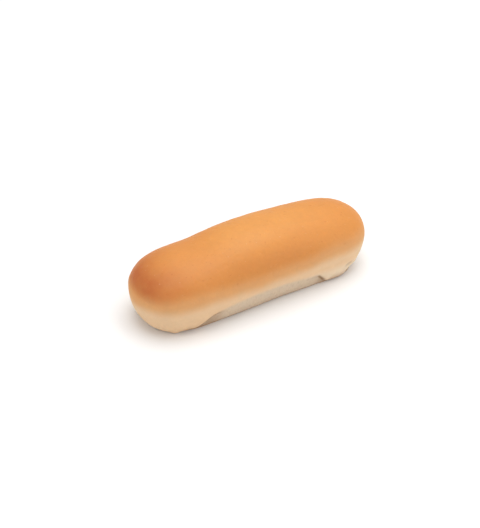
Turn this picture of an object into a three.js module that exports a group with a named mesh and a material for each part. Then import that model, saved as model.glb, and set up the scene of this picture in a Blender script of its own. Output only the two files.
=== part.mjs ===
// A plain, unsliced hot dog bun: one baked roll, so one closed solid. Millimetres, +Z up.
// +X runs along the roll, -Y is the side with the longer pan mark, and the origin is on the
// flat underside, in the middle of the roll's bounding box.
//
// The surface is a stack of closed rings. Each ring runs round the roll in plan, and the
// rings climb one profile: out over the flat underside, up the wall that the baking pan
// flattened, over the lip of the belly that rose above the pan, and up the dome to the ridge.
import * as THREE from 'three';
import { mergeVertices } from 'three/addons/utils/BufferGeometryUtils.js';

// Driving dimensions
const LENGTH = 150;
const WIDTH = 50;
const HEIGHT = 40.1; // of the ridge, before it swells in the middle
const BELLY_HEIGHT = 21; // where the roll is widest
const CORE_SHARE = 0.62; // the ridge's length as a share of the roll's

// Bluntness of the rounded shapes: 2 is an ellipse, and more is boxier
const PLAN_BLUNTNESS = 7.4;
const DOME_BLUNTNESS = 2.27;

// How far out the underside reaches, as a share of the way from the core to the belly
const FOOT_SHARE_SIDE = 0.79;
const FOOT_SHARE_END = 0.7;
const FOOT_NARROWS_FROM = 0.7; // share of the half length

// The pan mark: a flat wall that leans out as it rises, with an arched crease along its top.
// The crease comes up over fromRun at one end, sags away from its peak, and goes down over toRun.
const CREASE_LOW = 0.5; // height of the crease where there is no mark
const FOOT_DRAWN_IN = 0.02; // share by which the foot is narrower below the mark
const WALL_LEAN = 0.2; // share by which the wall leans out where the mark is highest
const PAN_MARKS = {
  front: {
    from: -56,
    fromRun: 19,
    peakX: -13.5,
    peak: 11.4,
    sagBefore: 0.0055,
    sagAfter: 0.00155,
    toRun: 11,
    to: 45.5,
  },
  back: {
    from: -44,
    fromRun: 10,
    peakX: 6,
    peak: 10.2,
    sagBefore: 0.0014,
    sagAfter: 0.0014,
    toRun: 18,
    to: 51,
  },
};

// The uneven rise of the dough
const MIDDLE_SWELL = 0.065; // the ridge is higher in the middle by this share
const HEIGHT_TAPER = 0.031; // it is also higher towards +X
const WIDTH_TAPER = 0.031; // and the roll is narrower there
const SWELLINGS = [
  { x: -33, reach: 12, height: -1.35 },
  { x: 4, reach: 15, height: 0.5 },
  { x: 28, reach: 14, height: -0.3 },
];

// Mesh
const POINTS_AROUND = 96;
const FOOT_RINGS = 4;
const WALL_RINGS = 3;
const BELLY_RINGS = 5;
const DOME_RINGS = 11;
const PLAN_SAMPLES = 2000;
const WELD = 1e-4;

const HALF_LENGTH = LENGTH / 2;
const HALF_WIDTH = WIDTH / 2;
const RIGHT_ANGLE = Math.PI / 2;
const { lerp, smoothstep } = THREE.MathUtils;

// Points of a quarter of the plan, evenly spaced from the +X tip to the middle of the side.
function quarterPlan(steps) {
  const samples = [];
  const lengths = [0];
  for (let i = 0; i <= PLAN_SAMPLES; i++) {
    const left = (PLAN_SAMPLES - i) / PLAN_SAMPLES;
    const turn = RIGHT_ANGLE * (1 - left ** 3); // the samples crowd where x runs fastest
    const x = left > 0 ? HALF_LENGTH * Math.cos(turn) ** (2 / PLAN_BLUNTNESS) : 0;
    samples.push(new THREE.Vector2(x, HALF_WIDTH * Math.sin(turn)));
    if (i > 0) lengths.push(lengths[i - 1] + samples[i].distanceTo(samples[i - 1]));
  }
  const points = [];
  for (let step = 0; step <= steps; step++) {
    const wanted = (lengths[PLAN_SAMPLES] * step) / steps;
    points.push(samples[lengths.findIndex((length) => length >= wanted)]);
  }
  return points;
}

// The whole plan of the belly, counter-clockwise from the +X tip.
function bellyPlan() {
  const right = quarterPlan(POINTS_AROUND / 4);
  const left = right.slice(0, -1).reverse().map(({ x, y }) => new THREE.Vector2(-x, y));
  const back = [...right, ...left];
  const front = back.slice(1, -1).reverse().map(({ x, y }) => new THREE.Vector2(x, -y));
  return [...back, ...front];
}

// Height of the crease between the pan wall and the belly.
function creaseHeight(x, mark) {
  const rise = smoothstep(x, mark.from, mark.from + mark.fromRun);
  const fall = 1 - smoothstep(x, mark.to - mark.toRun, mark.to);
  const sag = x < mark.peakX ? mark.sagBefore : mark.sagAfter;
  const arch = mark.peak - sag * (x - mark.peakX) ** 2;
  return lerp(CREASE_LOW, arch, rise * fall);
}

// The profile that the rings climb at one point of the plan, as [share, height] pairs.
// A share of 0 is the roll's core, and a share of 1 is its belly.
function profile(point) {
  const mark = point.y < 0 ? PAN_MARKS.front : PAN_MARKS.back;
  const crease = creaseHeight(point.x, mark);
  const markShare = (crease - CREASE_LOW) / (mark.peak - CREASE_LOW);
  const endness = smoothstep(Math.abs(point.x) / HALF_LENGTH, FOOT_NARROWS_FROM, 1);
  const foot = lerp(FOOT_SHARE_SIDE, FOOT_SHARE_END, endness) - FOOT_DRAWN_IN * markShare;
  const rim = foot + WALL_LEAN * markShare;
  const pairs = [];
  for (let ring = 0; ring <= FOOT_RINGS; ring++) {
    pairs.push([(foot * ring) / FOOT_RINGS, 0]);
  }
  for (let ring = 1; ring <= WALL_RINGS; ring++) {
    const climb = ring / WALL_RINGS;
    pairs.push([lerp(foot, rim, climb ** 0.7), crease * climb]);
  }
  for (let ring = 1; ring <= BELLY_RINGS; ring++) {
    const turn = RIGHT_ANGLE * (ring / BELLY_RINGS);
    pairs.push([lerp(rim, 1, Math.sin(turn)), lerp(BELLY_HEIGHT, crease, Math.cos(turn))]);
  }
  for (let ring = 1; ring <= DOME_RINGS; ring++) {
    const turn = RIGHT_ANGLE * (ring / DOME_RINGS);
    const share = ring === DOME_RINGS ? 0 : Math.cos(turn) ** (2 / DOME_BLUNTNESS);
    pairs.push([share, lerp(BELLY_HEIGHT, HEIGHT, Math.sin(turn) ** (2 / DOME_BLUNTNESS))]);
  }
  return pairs;
}

// Moves a point of the even roll to where the uneven rise of the dough left it.
function risen(x, y, z) {
  const along = x / HALF_LENGTH;
  const up = z / HEIGHT;
  const swell = 1 + up * (HEIGHT_TAPER * along + MIDDLE_SWELL * Math.cos(Math.PI * along));
  let lift = 0;
  for (const bump of SWELLINGS) {
    lift += bump.height * up ** 2 * Math.exp(-(((x - bump.x) / bump.reach) ** 2));
  }
  return [x, y * (1 - WIDTH_TAPER * along), z * swell + lift];
}

// Two triangles for each cell between neighbouring rings.
function ringFaces(ringCount, around) {
  const faces = [];
  for (let ring = 0; ring < ringCount - 1; ring++) {
    for (let i = 0; i < around; i++) {
      const a = ring * around + i;
      const b = ring * around + ((i + 1) % around);
      faces.push(a, b, b + around, a, b + around, a + around);
    }
  }
  return faces;
}

function bunGeometry() {
  const plan = bellyPlan();
  const profiles = plan.map(profile);
  const ringCount = profiles[0].length;
  const positions = [];
  for (let ring = 0; ring < ringCount; ring++) {
    plan.forEach((point, i) => {
      const [share, height] = profiles[i][ring];
      const x = point.x * lerp(CORE_SHARE, 1, share);
      positions.push(...risen(x, point.y * share, height));
    });
  }
  const rings = new THREE.BufferGeometry();
  rings.setAttribute('position', new THREE.Float32BufferAttribute(positions, 3));
  rings.setIndex(ringFaces(ringCount, plan.length));
  const geometry = mergeVertices(rings, WELD);
  geometry.computeBoundingBox();
  const middle = geometry.boundingBox.getCenter(new THREE.Vector3());
  geometry.translate(-middle.x, -middle.y, -geometry.boundingBox.min.z);
  geometry.computeVertexNormals();
  return geometry;
}

const crust = new THREE.MeshStandardMaterial({ color: '#e39a55', roughness: 0.6, metalness: 0 });

const bun = new THREE.Mesh(bunGeometry(), crust);
bun.name = 'bun';

const group = new THREE.Group();
group.add(bun);

export default group;
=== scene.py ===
"""A plain, unsliced hot dog bun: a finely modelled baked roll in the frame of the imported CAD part.

Shape sizes are in millimetres, as in the CAD, and turn to metres when the mesh is made.
+X runs along the roll, -Y is the near side with the longer pan mark, and Z is up.
"""

import math
from collections import namedtuple
from types import SimpleNamespace

import bmesh
import bpy
import numpy as np
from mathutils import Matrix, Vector, noise


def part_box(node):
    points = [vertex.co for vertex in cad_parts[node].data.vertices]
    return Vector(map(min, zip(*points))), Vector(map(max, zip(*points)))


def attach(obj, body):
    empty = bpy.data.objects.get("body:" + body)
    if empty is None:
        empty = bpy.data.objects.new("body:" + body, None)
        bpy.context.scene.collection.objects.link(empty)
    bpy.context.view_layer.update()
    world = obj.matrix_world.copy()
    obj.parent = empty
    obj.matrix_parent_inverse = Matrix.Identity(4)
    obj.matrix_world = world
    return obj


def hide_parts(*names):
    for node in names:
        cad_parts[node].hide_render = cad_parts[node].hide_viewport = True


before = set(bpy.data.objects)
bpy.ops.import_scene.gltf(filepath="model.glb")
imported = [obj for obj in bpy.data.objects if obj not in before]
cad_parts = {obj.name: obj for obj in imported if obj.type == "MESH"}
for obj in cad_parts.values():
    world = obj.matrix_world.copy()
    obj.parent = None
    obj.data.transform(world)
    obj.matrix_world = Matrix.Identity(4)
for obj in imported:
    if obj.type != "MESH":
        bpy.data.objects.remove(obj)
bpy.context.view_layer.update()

MM = 0.001
LOW, HIGH = (np.array(corner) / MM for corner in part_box("bun"))

# ---------------------------------------------------------------- the roll's shape, in mm

HALF_LENGTH = (HIGH - LOW)[0] / 2
HALF_WIDTH = 25
HEIGHT = 40.1  # of the ridge, before it swells in the middle
BELLY_HEIGHT = 21  # where the roll is widest
CORE_SHARE = 0.62  # the ridge's length as a share of the roll's
PLAN_BLUNTNESS = 7.4  # 2 is an ellipse, and more is boxier
DOME_BLUNTNESS = 2.27

# How far out the underside reaches, as a share of the way from the core to the belly
FOOT_SHARE_SIDE = 0.79
FOOT_SHARE_END = 0.70
FOOT_NARROWS_FROM = 0.7  # share of the half length
FOOT_BOW = SimpleNamespace(place=12, reach=17, share=0.026)  # the near side bows in here

# The pan mark: a flat wall that leans out as it rises, with an arched crease along its top.
# The crease comes up over `rise`, sags away on both sides of its peak, and goes down over `fall`.
Mark = namedtuple("Mark", "start rise end fall peak_x peak sag_before sag_after")
FRONT_MARK = Mark(
    start=-56, rise=19, end=45.5, fall=11, peak_x=-13.5, peak=11.4, sag_before=0.0055, sag_after=0.00155
)
BACK_MARK = Mark(
    start=-44, rise=10, end=51, fall=18, peak_x=6, peak=10.2, sag_before=0.0014, sag_after=0.0014
)
CREASE_LOW = 0.5  # height of the crease where there is no mark
CREASE_WAVERS = [(11, 0.45), (3.5, 0.225)]  # how long its wanders up and down are, and how high
FOOT_DRAWN_IN = 0.02  # share by which the foot steps in under the mark
WALL_LEAN = 0.20
WALL_BEND = 0.7  # below 1, the wall leans out first and then stands up
RECESS = 0.10  # how much less the wall leans under an overhanging lip
MARKED_BY = 0.1  # share of the arch's height at which the wall has its full colour
FOLDED_BY = 0.25  # and at which its fold has its full depth and its painted shade its full darkness

# The crease is a fold under an overhanging lip low on the arch, and a soft edge high on it
SOFT_CREASE = (0.62, 0.92)  # from here to here up the arch, the lip fades to a soft edge
SOFT_CREASE_FAR = (0.57, 0.80)  # and on the +X half
CREASE_ROUNDING = 10  # passes of smoothing across the soft edge
ROUNDING_STEP = 0.5
SOFT_PAINT = 3.2  # how far above the soft crease the wall's colour fades out
FOLD_REACH = 0.8  # how far from the crease the painted shade of its fold fades
FAR_FOLD = 0.85  # how deep the fold and how dark its painted shade are on the +X half, where the other half's are 1

# The baked bottom edge, darkened partly as painted contact shade: how far up it shows
RIM_HEIGHT = 0.9  # on the wall
RIM_HEIGHT_BESIDE = 3.4  # beside the wall
RIM_HEIGHT_END = 0.7  # and round the -X end
RIM_ENDS = (-60, -53)
UNDERSIDE_RIM = (0.9, 1)  # on the underside: from here to here, as shares of the way out

# The sole: round the near half of the +X end the bottom crust stands out as a low step
SOLE_FROM = 54
SOLE_RUN = 9
SOLE_FADES = (-2, 14)  # across the roll, from the near side to the far side
SOLE_HEIGHT = 2.4
SOLE_REACH = 0.05  # share by which it stands out
SOLE_BEND = 3  # above 1, its side stands up first and then turns in
SOLE_SOFTNESS = 0.5  # how far the belly's overhang is lost above it

# The uneven rise of the dough
MIDDLE_SWELL = 0.065
HEIGHT_TAPER = 0.031  # higher towards +X
WIDTH_TAPER = 0.031  # and narrower
SWELLINGS = [(-33, 12, -1.35), (4, 15, 0.5), (28, 14, -0.3)]  # place, reach and height along the ridge

# Unevenness of the finished crust: size across and height of its lumps
LUMPS = [(27, 0.38), (9, 0.10), (3.2, 0.025)]
LUMPS_START = 4  # height at which the lumps reach their full size

# Pores in the crust, torn crumb on the pan walls, and dimples in the underside: size across and
# height. Pores and dimples come up between these two levels of the noise that places them.
PORES = (2.6, -0.13)
PORE_LEVELS = (0.2, 0.6)
CRUMB = (2.0, 0.30)
DIMPLES = (4.5, 0.45)
DIMPLE_LEVELS = (0.15, 0.55)

# Single bumps, and dents where the height is below 0. The nick is three small dents in a row.
Spot = namedtuple("Spot", "centre reach height")
NUB = Spot((-59.0, -18.0, 0.8), reach=2.6, height=0.8)
FOOT_DENT = Spot((-51.5, -20.0, 0.8), reach=6, height=-0.7)
FOOT_BULGE = Spot((50, -19.5, 0.8), reach=6, height=0.55)
NICK_LIP = Spot((59.4, -20.1, 9.2), reach=4, height=1.0)
NICK = [
    Spot((53.6, -22.7, 9.2), reach=1.1, height=-0.4),
    Spot((54.8, -22.4, 9.5), reach=1.2, height=-0.6),
    Spot((56.2, -22.0, 9.9), reach=1.2, height=-0.5),
]
NICK_SHADE = 0.5  # how dark the painted shade in the nick's dents is, where the darkest fold shade is 1
SHOULDERS = [
    Spot((72.5, -3, 29), reach=7, height=0.25),
    Spot((71, -14, 22), reach=7, height=-0.1),
    Spot((-67, 17, 26), reach=6, height=-0.35),
    Spot((-73.4, 5, 12), reach=8, height=0.3),
]
SPOTS = [NUB, FOOT_DENT, FOOT_BULGE, NICK_LIP, *NICK, *SHOULDERS]

# The mesh
POINTS_AROUND = 576
PLAN_SAMPLES = 4001  # along a quarter of the plan, before the points are spaced evenly
FOOT_RINGS = 16
WALL_RINGS = 14
BELLY_RINGS = 30
DOME_RINGS = 64
WELD = 0.001  # points closer than this become one


def smoothstep(low, high, value):
    t = np.clip((value - low) / (high - low), 0, 1)
    return t * t * (3 - 2 * t)


def bell(distance, reach):
    """1 at no distance, about a third at the reach, and next to nothing beyond twice the reach."""
    return np.exp(-((distance / reach) ** 2))


def between(first, second, share):
    return first + (second - first) * share


def cloud(places, size):
    """Smooth noise between about -1 and 1 at these places, with lumps of this size."""
    return np.array([noise.noise(Vector(place) / size) for place in places])


def waver(x, size, seed):
    """Smooth noise between about -1 and 1 along x, with bends of this size."""
    return np.array([noise.noise((value / size, seed, 0)) for value in x])


def belly_plan(count):
    """Evenly spaced points round the roll at its widest, counter-clockwise from the +X tip."""
    left = np.linspace(1, 0, PLAN_SAMPLES)
    turn = math.pi / 2 * (1 - left**3)  # the samples crowd where x runs fastest
    x = HALF_LENGTH * np.cos(turn).clip(0) ** (2 / PLAN_BLUNTNESS)
    y = HALF_WIDTH * np.sin(turn)
    x[-1] = 0
    length = np.concatenate([[0], np.cumsum(np.hypot(np.diff(x), np.diff(y)))])
    even = np.linspace(0, length[-1], count // 4 + 1)
    x = np.interp(even, length, x)
    y = np.interp(even, length, y)
    x = np.concatenate([x, -x[-2::-1], -x[1:], x[-2:0:-1]])
    y = np.concatenate([y, y[-2::-1], -y[1:], -y[-2:0:-1]])
    return x, y


def crease_height(x, mark):
    """Height of the crease between the pan wall and the belly."""
    rise = smoothstep(mark.start, mark.start + mark.rise, x)
    fall = 1 - smoothstep(mark.end - mark.fall, mark.end, x)
    sag = np.where(x < mark.peak_x, mark.sag_before, mark.sag_after)
    arch = mark.peak - sag * (x - mark.peak_x) ** 2
    wander = sum(height * waver(x, size, mark.peak) for size, height in CREASE_WAVERS)
    return CREASE_LOW + (arch + wander - CREASE_LOW) * rise * fall


def surveyed(x, y):
    """How far out the foot and the lip are, how high the crease is, and so on, all round the roll."""
    front = y < 0
    pan_crease = np.where(front, crease_height(x, FRONT_MARK), crease_height(x, BACK_MARK))
    peak = np.where(front, FRONT_MARK.peak, BACK_MARK.peak)
    mark = (pan_crease - CREASE_LOW) / (peak - CREASE_LOW)
    marked = smoothstep(0, MARKED_BY, mark)
    sole = smoothstep(SOLE_FROM, SOLE_FROM + SOLE_RUN, x) * (1 - smoothstep(*SOLE_FADES, y))
    crease = np.maximum(pan_crease, between(CREASE_LOW, SOLE_HEIGHT, sole))

    lip_fades = np.where(x < 0, smoothstep(*SOFT_CREASE, mark), smoothstep(*SOFT_CREASE_FAR, mark))
    soft = np.maximum(lip_fades, SOLE_SOFTNESS * sole)
    # how deep the fold under the lip is, and how dark the painted shade in it is
    fold = smoothstep(0, FOLDED_BY, mark) * (1 - soft) * np.where(x < 0, 1, FAR_FOLD)

    endness = smoothstep(FOOT_NARROWS_FROM, 1, abs(x) / HALF_LENGTH)
    bow = FOOT_BOW.share * front * bell(x - FOOT_BOW.place, FOOT_BOW.reach)
    inner = between(FOOT_SHARE_SIDE, FOOT_SHARE_END, endness) - FOOT_DRAWN_IN * mark - bow
    rim_beside = between(RIM_HEIGHT_END, RIM_HEIGHT_BESIDE, smoothstep(*RIM_ENDS, x))
    return SimpleNamespace(
        foot=inner + SOLE_REACH * sole,
        lip=inner + (WALL_LEAN - RECESS * fold) * mark,
        rim_height=between(rim_beside, RIM_HEIGHT, marked),
        crease=crease,
        marked=marked,
        soft=soft,
        fold=fold,
        sole=sole,
    )


class Rings:
    """Stacks the rings of the even roll, with what each is painted as."""

    def __init__(self, x, y):
        self.x, self.y = x, y
        self.shares, self.heights = [], []
        self.paint = {"mark": [], "underside": [], "fold": [], "rim": []}

    def add(self, share, height, **paint):
        self.shares.append(share + 0 * self.x)
        self.heights.append(height + 0 * self.x)
        for name, values in self.paint.items():
            values.append(paint.get(name, 0) + 0 * self.x)

    def points(self):
        share, height = np.array(self.shares), np.array(self.heights)
        return np.stack([self.x * between(CORE_SHARE, 1, share), self.y * share, height], -1)


def add_underside(rings, at):
    for step in np.linspace(0, 1, FOOT_RINGS + 1):
        rings.add(at.foot * step, 0, underside=1, rim=smoothstep(*UNDERSIDE_RIM, step))


def add_wall(rings, at):
    for climb in np.linspace(0, 1, WALL_RINGS + 1)[1:]:
        out = between(climb**WALL_BEND, climb**SOLE_BEND, at.sole)
        height = at.crease * climb
        rings.add(
            between(at.foot, at.lip, out),
            height,
            mark=at.marked,
            fold=at.fold * bell(at.crease - height, FOLD_REACH),
            rim=bell(height, at.rim_height),
        )


def add_belly(rings, at):
    """From the crease up to the roll's widest, round an overhanging lip or up a soft slope."""
    for climb in np.linspace(0, 1, BELLY_RINGS + 1)[1:]:
        turn = math.pi / 2 * climb
        lip_share = between(at.lip, 1, math.sin(turn))
        lip_height = between(BELLY_HEIGHT, at.crease, math.cos(turn))
        soft_share = between(at.lip, 1, 1 - (1 - climb) ** 2)
        soft_height = between(at.crease, BELLY_HEIGHT, climb)
        height = between(lip_height, soft_height, at.soft)
        above = height - at.crease
        rings.add(
            between(lip_share, soft_share, at.soft),
            height,
            mark=smoothstep(SOFT_PAINT, 0, above) * at.soft * at.marked,
            fold=at.fold * bell(above, FOLD_REACH),
            rim=bell(height, at.rim_height) * (1 - at.marked),
        )


def add_dome(rings):
    for climb in np.linspace(0, 1, DOME_RINGS + 1)[1:]:
        turn = math.pi / 2 * climb
        share = math.cos(turn) ** (2 / DOME_BLUNTNESS) if climb < 1 else 0
        rings.add(share, between(BELLY_HEIGHT, HEIGHT, math.sin(turn) ** (2 / DOME_BLUNTNESS)))


def round_crease(points, soft):
    """Smooths the wall and the belly up and down where the crease is a soft edge."""
    first, last = FOOT_RINGS + 2, FOOT_RINGS + WALL_RINGS + BELLY_RINGS
    for _ in range(CREASE_ROUNDING):
        rounded = (points[first - 1 : last - 1] + points[first + 1 : last + 1]) / 2
        points[first:last] += ROUNDING_STEP * soft[:, None] * (rounded - points[first:last])


def roll_rings():
    """The even roll: out over the underside, up the wall, round the belly and over the dome."""
    x, y = belly_plan(POINTS_AROUND)
    at = surveyed(x, y)
    rings = Rings(x, y)
    add_underside(rings, at)
    add_wall(rings, at)
    add_belly(rings, at)
    add_dome(rings)
    points = rings.points()
    round_crease(points, at.soft)
    return points, {name: np.array(values) for name, values in rings.paint.items()}


def risen(points):
    """Moves the even roll's points to where the uneven rise of the dough left them."""
    x, y, z = np.moveaxis(points, -1, 0)
    along, up = x / HALF_LENGTH, z / HEIGHT
    swell = 1 + up * (HEIGHT_TAPER * along + MIDDLE_SWELL * np.cos(math.pi * along))
    lift = sum(height * up**2 * bell(x - place, reach) for place, reach, height in SWELLINGS)
    return np.stack([x, y * (1 - WIDTH_TAPER * along), z * swell + lift], -1)


def fitted(points):
    """Stretches the points by the last fraction of a millimetre to fill the CAD part's box."""
    low, high = points.min((0, 1)), points.max((0, 1))
    return LOW + (points - low) * (HIGH - LOW) / (high - low)


def ring_faces(rings, around):
    first = np.arange(rings - 1)[:, None] * around + np.arange(around)
    after = np.arange(rings - 1)[:, None] * around + np.roll(np.arange(around), -1)
    return np.stack([first, after, after + around, first + around], -1).reshape(-1, 4)


def from_spot(places, spot):
    """How much each place belongs to a spot: 1 at its centre, fading over its reach."""
    return bell(np.linalg.norm(places - spot.centre, axis=1), spot.reach)


def crust_relief(places, mark):
    """How far each place on the crust stands out along its normal."""
    push = sum(height * cloud(places, size) for size, height in LUMPS)
    push += PORES[1] * smoothstep(*PORE_LEVELS, cloud(places, PORES[0])) * (1 - mark)
    push += CRUMB[1] * cloud(places, CRUMB[0]) * mark
    push *= (places[:, 2] / LUMPS_START).clip(0, 1)
    for spot in SPOTS:
        push += spot.height * from_spot(places, spot)
    return push


def painted(mesh, name):
    values = np.empty(len(mesh.vertices))
    mesh.attributes[name].data.foreach_get("value", values)
    return values


# Paints shade into the nick's dents by raising the fold's painted-shade mask there
def shade_nick(mesh, places):
    fold = painted(mesh, "fold")
    for spot in NICK:
        fold = np.maximum(fold, NICK_SHADE * from_spot(places, spot))
    mesh.attributes["fold"].data.foreach_set("value", fold)


def add_relief(mesh):
    """Paints shade into the nick's dents, pushes the crust in and out along its normals, and dimples the
    flat underside.
    """
    places = np.empty(len(mesh.vertices) * 3)
    normals = np.empty(len(mesh.vertices) * 3)
    mesh.vertices.foreach_get("co", places)
    mesh.vertices.foreach_get("normal", normals)
    places = places.reshape(-1, 3) / MM
    normals = normals.reshape(-1, 3)
    shade_nick(mesh, places)

    push = crust_relief(places, painted(mesh, "mark"))
    below = places[:, 2] < WELD
    dimples = DIMPLES[1] * smoothstep(*DIMPLE_LEVELS, cloud(places[below], DIMPLES[0]))
    places += normals * push[:, None]
    places[:, 2] = places[:, 2].clip(0)
    places[below, 2] = dimples
    mesh.vertices.foreach_set("co", (places * MM).ravel())


def make_bun():
    points, paint = roll_rings()
    points = fitted(risen(points))
    mesh = bpy.data.meshes.new("bun_crust")
    mesh.from_pydata(points.reshape(-1, 3) * MM, [], ring_faces(*points.shape[:2]).tolist())
    for name, values in paint.items():
        attribute = mesh.attributes.new(name, "FLOAT", "POINT")
        attribute.data.foreach_set("value", values.reshape(-1))
    weld = bmesh.new()
    weld.from_mesh(mesh)
    bmesh.ops.remove_doubles(weld, verts=weld.verts, dist=WELD * MM)
    weld.to_mesh(mesh)
    weld.free()
    add_relief(mesh)
    mesh.shade_smooth()
    bun = bpy.data.objects.new("bun_crust", mesh)
    bpy.context.scene.collection.objects.link(bun)
    return bun


# ---------------------------------------------------------------- the crust's material

CREAM = (0.76, 0.52, 0.31, 1)
PALE = (0.79, 0.62, 0.44, 1)
HONEY = (0.69, 0.345, 0.135, 1)
GOLD = (0.665, 0.262, 0.055, 1)
# the ridge painted lighter and yellower, as a painted highlight from the light above
RIDGE_HIGHLIGHT = (0.69, 0.29, 0.066, 1)
TOAST = (0.46, 0.115, 0.020, 1)
# the pan wall's crumb, paler and greyer than the crust, and darkened in part as painted shade on the
# down-facing wall
WALL_WITH_SHADE = (0.655, 0.51, 0.37, 1)
# painted shade under the deeper overhang of the lip towards the mark's ends
WALL_END_SHADE = (0.50, 0.35, 0.23, 1)
CRUMB_SHADE = (0.50, 0.37, 0.25, 1)
# painted shade in the fold under the crease's lip
FOLD_SHADE = (0.27, 0.14, 0.065, 1)
# the browned bottom edge: partly baked crust, partly painted shade where the roll meets the floor
BAKED_RIM_AND_SHADE = (0.38, 0.21, 0.105, 1)
UNDERSIDE = (0.60, 0.31, 0.115, 1)
UNDERSIDE_DARK = (0.47, 0.20, 0.062, 1)
UNDERSIDE_EDGE = (0.68, 0.44, 0.22, 1)

# The same all over the crust
CRUST_SETTINGS = {
    "Subsurface Weight": 0.10,
    "Subsurface Radius": (1.0, 0.5, 0.25),
    "Subsurface Scale": 2 * MM,
    "Specular IOR Level": 0.4,
}

# Cloudy noise: the size of its patches in mm and its detail. Its levels lie around 0.
WIDE = (24, 2)
MEDIUM = (6, 3)
SMALL = (1.6, 3)
FINE = (0.6, 3)
FLECK_NOISE = (1.1, 1)
FRECKLE_NOISE = (1.7, 1)
FIBRE_NOISE = (0.7, 3)
FIBRE_STRETCH = (1.4, 1.4, 5)

# Every tuple below is a ramp: from, to and, where they aren't 0 and 1, the values at both ends.
# Numbers named after a noise say how much of it is added.

# Browning, by height in mm
BROWN_EDGE = 20.5  # the edge between the pale sides and the golden top
EDGE_RISES_RIGHT = (18, 46, 0, 2.2)
EDGE_RISES_LEFT = (0, -50, 0, 1.2)
EDGE_TIP_ALONG = (-62, -73)
EDGE_TIP_ACROSS = (-14, 0)
EDGE_TIP_DROP = -2.7
EDGE_WIDE = 5.0
EDGE_MEDIUM = 2.0
HONEY_ABOVE_EDGE = (-7, 1.5)
GOLD_ABOVE_EDGE = (0, 9.5)
# heights over which the painted highlight along the ridge comes in
RIDGE_HIGHLIGHT_UP = (38, 43)
PALE_DOWN = (14, 7)
PALE_ALONG = (-10, 40)

# Toasting, in a band by height that sinks round the -X end
TOAST_SINKS = (-50, -72, 0, 2)
TOAST_BOTTOM = (24.5, 31)
TOAST_TOP = (40, 33)
TOAST_BY_END = (-40, -70, 0.30, 0.90)
TOAST_BY_RIGHT = (14, 42, 1, 0.2)
TOAST_BY_SIDE = (6, 20, 1, 0.65)
TOAST_WIDE = 0.9
TOAST_MEDIUM = 0.6

# Mottling
MOTTLE_MEDIUM = 0.14
MOTTLE_SMALL = 0.10
FLECKS = (0.22, 0.32, 0, 0.25)
FRECKLES = (-0.19, -0.28, 0, 0.35)

# The pan wall, with painted shade that deepens towards its ends, and the painted shade of the fold above
# it
FIBRES_DARKEN = (-0.05, 0.22, 0, 0.4)
WALL_DARK_LEFT = (-27, -40)
WALL_DARK_RIGHT = (30, 38, 0, 0.7)
# how much the fold's painted shade covers the colour beneath
FOLD_SHADE_COVER = 0.9

# The underside and its edge
PATCH_MEDIUM = 0.5
PATCH_SMALL = 0.3
PATCHES = (-0.2, 0.25)
EDGE_PALE = (0.0, 0.6, 0, 0.8)
RIM_COVER = (1, 0, 0, 0.85)  # by how much of the place is underside

# Roughness
ROUGH = 0.84
SHINE = -0.30
ROUGH_MEDIUM = 0.12
ROUGH_SMALL = 0.12

# Fine relief, in mm
SKIN_FINE = 0.045
SKIN_SMALL = 0.06
CRUMB_FIBRES = 0.45
CRUMB_SMALL = 0.25
PITS = (0, 0.35, 0, -0.25)

# A mix node's colour sockets, which share their names with its other sockets
MIX_FIRST = 6
MIX_SECOND = 7
MIX_RESULT = 2


class Graph:
    """Short calls for building a material's nodes."""

    def __init__(self, name):
        self.material = bpy.data.materials.new(name)
        self.material.use_nodes = True
        self.tree = self.material.node_tree
        self.shader = self.tree.nodes["Principled BSDF"]

    def node(self, kind, **settings):
        made = self.tree.nodes.new(kind)
        for name, value in settings.items():
            setattr(made, name, value)
        return made

    def feed(self, value, socket):
        if isinstance(value, bpy.types.NodeSocket):
            self.tree.links.new(value, socket)
        else:
            socket.default_value = value

    def math(self, operation, *values):
        made = self.node("ShaderNodeMath", operation=operation)
        for value, socket in zip(values, made.inputs):
            self.feed(value, socket)
        return made.outputs[0]

    def total(self, *values):
        result = values[0]
        for value in values[1:]:
            result = self.math("ADD", result, value)
        return result

    def times(self, *values):
        result = values[0]
        for value in values[1:]:
            result = self.math("MULTIPLY", result, value)
        return result

    def ramp(self, value, low, high, low_value=0.0, high_value=1.0):
        made = self.node("ShaderNodeMapRange", interpolation_type="SMOOTHSTEP")
        for given, socket in zip((value, low, high, low_value, high_value), made.inputs):
            self.feed(given, socket)
        return made.outputs["Result"]

    def mix(self, factor, first, second, blend="MIX"):
        made = self.node("ShaderNodeMix", data_type="RGBA", blend_type=blend)
        self.feed(factor, made.inputs["Factor"])
        self.feed(first, made.inputs[MIX_FIRST])
        self.feed(second, made.inputs[MIX_SECOND])
        return made.outputs[MIX_RESULT]

    def grey(self, value):
        made = self.node("ShaderNodeCombineColor")
        for socket in made.inputs:
            self.feed(value, socket)
        return made.outputs[0]

    def attribute(self, name):
        return self.node("ShaderNodeAttribute", attribute_name=name).outputs["Fac"]

    def place_in_mm(self):
        in_mm = self.node("ShaderNodeVectorMath", operation="SCALE")
        self.feed(self.node("ShaderNodeTexCoord").outputs["Object"], in_mm.inputs[0])
        in_mm.inputs["Scale"].default_value = 1 / MM
        return in_mm.outputs[0]

    def noise(self, place, size, detail, stretch=(1, 1, 1)):
        """Cloudy noise around 0, with patches of this size, longer where stretch is more than 1."""
        scaled = self.node("ShaderNodeMapping")
        self.feed(place, scaled.inputs["Vector"])
        scaled.inputs["Scale"].default_value = [1 / (size * share) for share in stretch]
        made = self.node("ShaderNodeTexNoise")
        self.feed(scaled.outputs[0], made.inputs["Vector"])
        made.inputs["Scale"].default_value = 1.0
        made.inputs["Detail"].default_value = detail
        return self.math("SUBTRACT", made.outputs["Fac"], 0.5)


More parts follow.
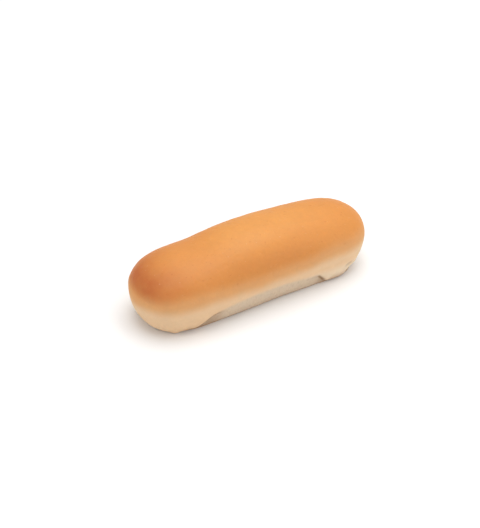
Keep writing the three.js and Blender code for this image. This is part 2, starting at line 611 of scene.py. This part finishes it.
def crust_inputs(graph):
    """The place on the bun in mm, the shared noises, and what the mesh is painted as."""
    place = graph.place_in_mm()
    split = graph.node("ShaderNodeSeparateXYZ")
    graph.feed(place, split.inputs[0])
    x, y, z = split.outputs
    return SimpleNamespace(
        place=place,
        x=x,
        y=y,
        z=z,
        wide=graph.noise(place, *WIDE),
        medium=graph.noise(place, *MEDIUM),
        small=graph.noise(place, *SMALL),
        fine=graph.noise(place, *FINE),
        fibres=graph.noise(place, *FIBRE_NOISE, FIBRE_STRETCH),
        mark=graph.attribute("mark"),
        fold=graph.attribute("fold"),
        rim=graph.attribute("rim"),
        underside=graph.attribute("underside"),
    )


def browned(graph, at):
    """Cream below a wavering edge, honey across it and gold above, paler low on the +X half, with a
    painted highlight along the ridge.
    """
    tip = graph.times(graph.ramp(at.x, *EDGE_TIP_ALONG), graph.ramp(at.y, *EDGE_TIP_ACROSS))
    edge = graph.total(
        BROWN_EDGE,
        graph.ramp(at.x, *EDGE_RISES_RIGHT),
        graph.ramp(at.x, *EDGE_RISES_LEFT),
        graph.times(tip, EDGE_TIP_DROP),
        graph.times(at.wide, EDGE_WIDE),
    )
    above = graph.total(graph.math("SUBTRACT", at.z, edge), graph.times(at.medium, EDGE_MEDIUM))
    pale = graph.times(graph.ramp(at.z, *PALE_DOWN), graph.ramp(at.x, *PALE_ALONG))
    gold = graph.ramp(above, *GOLD_ABOVE_EDGE)
    colour = graph.mix(pale, CREAM, PALE)
    colour = graph.mix(graph.ramp(above, *HONEY_ABOVE_EDGE), colour, HONEY)
    colour = graph.mix(gold, colour, GOLD)
    # painted highlight along the ridge
    colour = graph.mix(graph.ramp(at.z, *RIDGE_HIGHLIGHT_UP), colour, RIDGE_HIGHLIGHT)
    return colour, gold


def toasted(graph, at, colour):
    """A faint dark band along the shoulder, deepest and lowest round the middle of the -X end."""
    height = graph.total(at.z, graph.ramp(at.x, *TOAST_SINKS))
    band = graph.times(graph.ramp(height, *TOAST_BOTTOM), graph.ramp(height, *TOAST_TOP))
    by_end = graph.ramp(at.x, *TOAST_BY_END)
    by_right = graph.ramp(at.x, *TOAST_BY_RIGHT)
    by_side = graph.ramp(graph.math("ABSOLUTE", at.y), *TOAST_BY_SIDE)
    uneven = graph.total(1.0, graph.times(at.wide, TOAST_WIDE), graph.times(at.medium, TOAST_MEDIUM))
    return graph.mix(graph.times(band, by_end, by_right, by_side, uneven), colour, TOAST)


def mottled(graph, at, colour, gold):
    """Cloudy lightness, pale flecks of flour and, on the golden top, darker freckles."""
    mottle = graph.total(1.0, graph.times(at.medium, MOTTLE_MEDIUM), graph.times(at.small, MOTTLE_SMALL))
    colour = graph.mix(1.0, colour, graph.grey(mottle), "MULTIPLY")
    flecks = graph.ramp(graph.noise(at.place, *FLECK_NOISE), *FLECKS)
    freckles = graph.ramp(graph.noise(at.place, *FRECKLE_NOISE), *FRECKLES)
    colour = graph.mix(flecks, colour, PALE)
    return graph.mix(graph.times(freckles, gold), colour, TOAST)


def pan_marked(graph, at, colour):
    """Torn crumb on the pan walls, finely streaked upwards and darker towards its ends as painted shade,
    with painted shade in the fold above.
    """
    # painted shade under the deeper overhang towards both ends of the mark
    shade_to_ends = graph.total(graph.ramp(at.x, *WALL_DARK_LEFT), graph.ramp(at.x, *WALL_DARK_RIGHT))
    wall = graph.mix(graph.ramp(at.fibres, *FIBRES_DARKEN), WALL_WITH_SHADE, CRUMB_SHADE)
    wall = graph.mix(shade_to_ends, wall, WALL_END_SHADE)
    colour = graph.mix(at.mark, colour, wall)
    # paints shade into the fold under the crease's lip
    return graph.mix(graph.times(at.fold, FOLD_SHADE_COVER), colour, FOLD_SHADE)


def bottomed(graph, at, colour):
    """The baked underside, darker in patches and paler where it turns up, with a brown rim above that is
    partly baked and partly painted contact shade.
    """
    patches = graph.total(
        at.wide,
        graph.times(at.medium, PATCH_MEDIUM),
        graph.times(at.small, PATCH_SMALL),
    )
    below = graph.mix(graph.ramp(patches, *PATCHES), UNDERSIDE, UNDERSIDE_DARK)
    below = graph.mix(graph.ramp(at.rim, *EDGE_PALE), below, UNDERSIDE_EDGE)
    colour = graph.mix(at.underside, colour, below)
    # the brown rim: partly baked crust, partly painted contact shade
    return graph.mix(graph.times(at.rim, graph.ramp(at.underside, *RIM_COVER)), colour, BAKED_RIM_AND_SHADE)


def crust_roughness(graph, at, gold):
    """Matte, with a faint shine where the crust is golden."""
    baked = graph.times(gold, graph.math("SUBTRACT", 1.0, at.mark))
    return graph.total(
        ROUGH,
        graph.times(baked, SHINE),
        graph.times(at.medium, ROUGH_MEDIUM),
        graph.times(at.small, ROUGH_SMALL),
    )


def fine_relief(graph, at):
    """A fine skin, open crumb on the pan walls, and pits in the underside."""
    skin = graph.total(graph.times(at.fine, SKIN_FINE), graph.times(at.small, SKIN_SMALL))
    crumb = graph.total(graph.times(at.fibres, CRUMB_FIBRES), graph.times(at.small, CRUMB_SMALL))
    pits = graph.times(at.underside, graph.ramp(at.small, *PITS))
    bump = graph.node("ShaderNodeBump")
    bump.inputs["Strength"].default_value = 1.0
    bump.inputs["Distance"].default_value = MM
    graph.feed(graph.total(skin, graph.times(at.mark, crumb), pits), bump.inputs["Height"])
    return bump.outputs[0]


def crust_material():
    graph = Graph("baked_crust")
    at = crust_inputs(graph)
    colour, gold = browned(graph, at)
    colour = toasted(graph, at, colour)
    colour = mottled(graph, at, colour, gold)
    colour = pan_marked(graph, at, colour)
    colour = bottomed(graph, at, colour)
    graph.feed(colour, graph.shader.inputs["Base Color"])
    graph.feed(crust_roughness(graph, at, gold), graph.shader.inputs["Roughness"])
    graph.feed(fine_relief(graph, at), graph.shader.inputs["Normal"])
    for name, value in CRUST_SETTINGS.items():
        graph.shader.inputs[name].default_value = value
    return graph.material


def plain_material(name, colour, roughness):
    material = bpy.data.materials.new(name)
    material.use_nodes = True
    shader = material.node_tree.nodes["Principled BSDF"]
    shader.inputs["Base Color"].default_value = colour
    shader.inputs["Roughness"].default_value = roughness
    return material


# ---------------------------------------------------------------- the bun

bun = make_bun()
bun.data.materials.append(crust_material())
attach(bun, "root")
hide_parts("bun")

# ---------------------------------------------------------------- floor, light and camera, in metres

FLOOR_SIZE = 12.0
PAPER = (0.9, 0.9, 0.9, 1)
WHITE = (1, 1, 1, 1)
SKY_STRENGTH = 0.62

bpy.ops.mesh.primitive_plane_add(size=FLOOR_SIZE)
floor = bpy.context.object
floor.name = "floor"
floor.data.materials.append(plain_material("white_paper", PAPER, 1.0))

world = bpy.data.worlds.new("studio")
bpy.context.scene.world = world
world.use_nodes = True
sky = world.node_tree.nodes["Background"]
sky.inputs["Color"].default_value = WHITE
sky.inputs["Strength"].default_value = SKY_STRENGTH


def soft_light(name, place, size, power):
    """A round soft box that faces the origin."""
    light = bpy.data.lights.new(name, "AREA")
    light.shape = "DISK"
    light.size = size
    light.energy = power
    lamp = bpy.data.objects.new(name, light)
    lamp.location = place
    lamp.rotation_euler = (-Vector(place)).to_track_quat("-Z", "Y").to_euler()
    bpy.context.scene.collection.objects.link(lamp)


soft_light("overhead", place=(0.15, 0.10, 1.0), size=1.0, power=7.0)
soft_light("fill", place=(0.65, -0.75, 0.55), size=0.8, power=2.3)
soft_light("side", place=(-1.0, 0.10, 0.45), size=0.8, power=1.1)

AZIMUTH = math.radians(-29.32)
ELEVATION = math.radians(38)
DISTANCE = 0.600
AIM = Vector((-0.0071, 0, 0.018))
SENSOR = 36
PICTURE_HEIGHT = 528
FOCAL_LENGTH = 1029  # in the same unit as the picture's height
NEAREST = 0.01

towards_camera = Vector((
    math.sin(AZIMUTH) * math.cos(ELEVATION),
    -math.cos(AZIMUTH) * math.cos(ELEVATION),
    math.sin(ELEVATION),
))
camera = bpy.data.objects.new("camera", bpy.data.cameras.new("camera"))
camera.data.sensor_width = SENSOR
camera.data.lens = SENSOR * FOCAL_LENGTH / PICTURE_HEIGHT
camera.data.clip_start = NEAREST
camera.location = AIM + towards_camera * DISTANCE
camera.rotation_euler = (-towards_camera).to_track_quat("-Z", "Y").to_euler()
bpy.context.scene.collection.objects.link(camera)
bpy.context.scene.camera = camera
bpy.context.scene.view_settings.view_transform = "Standard"
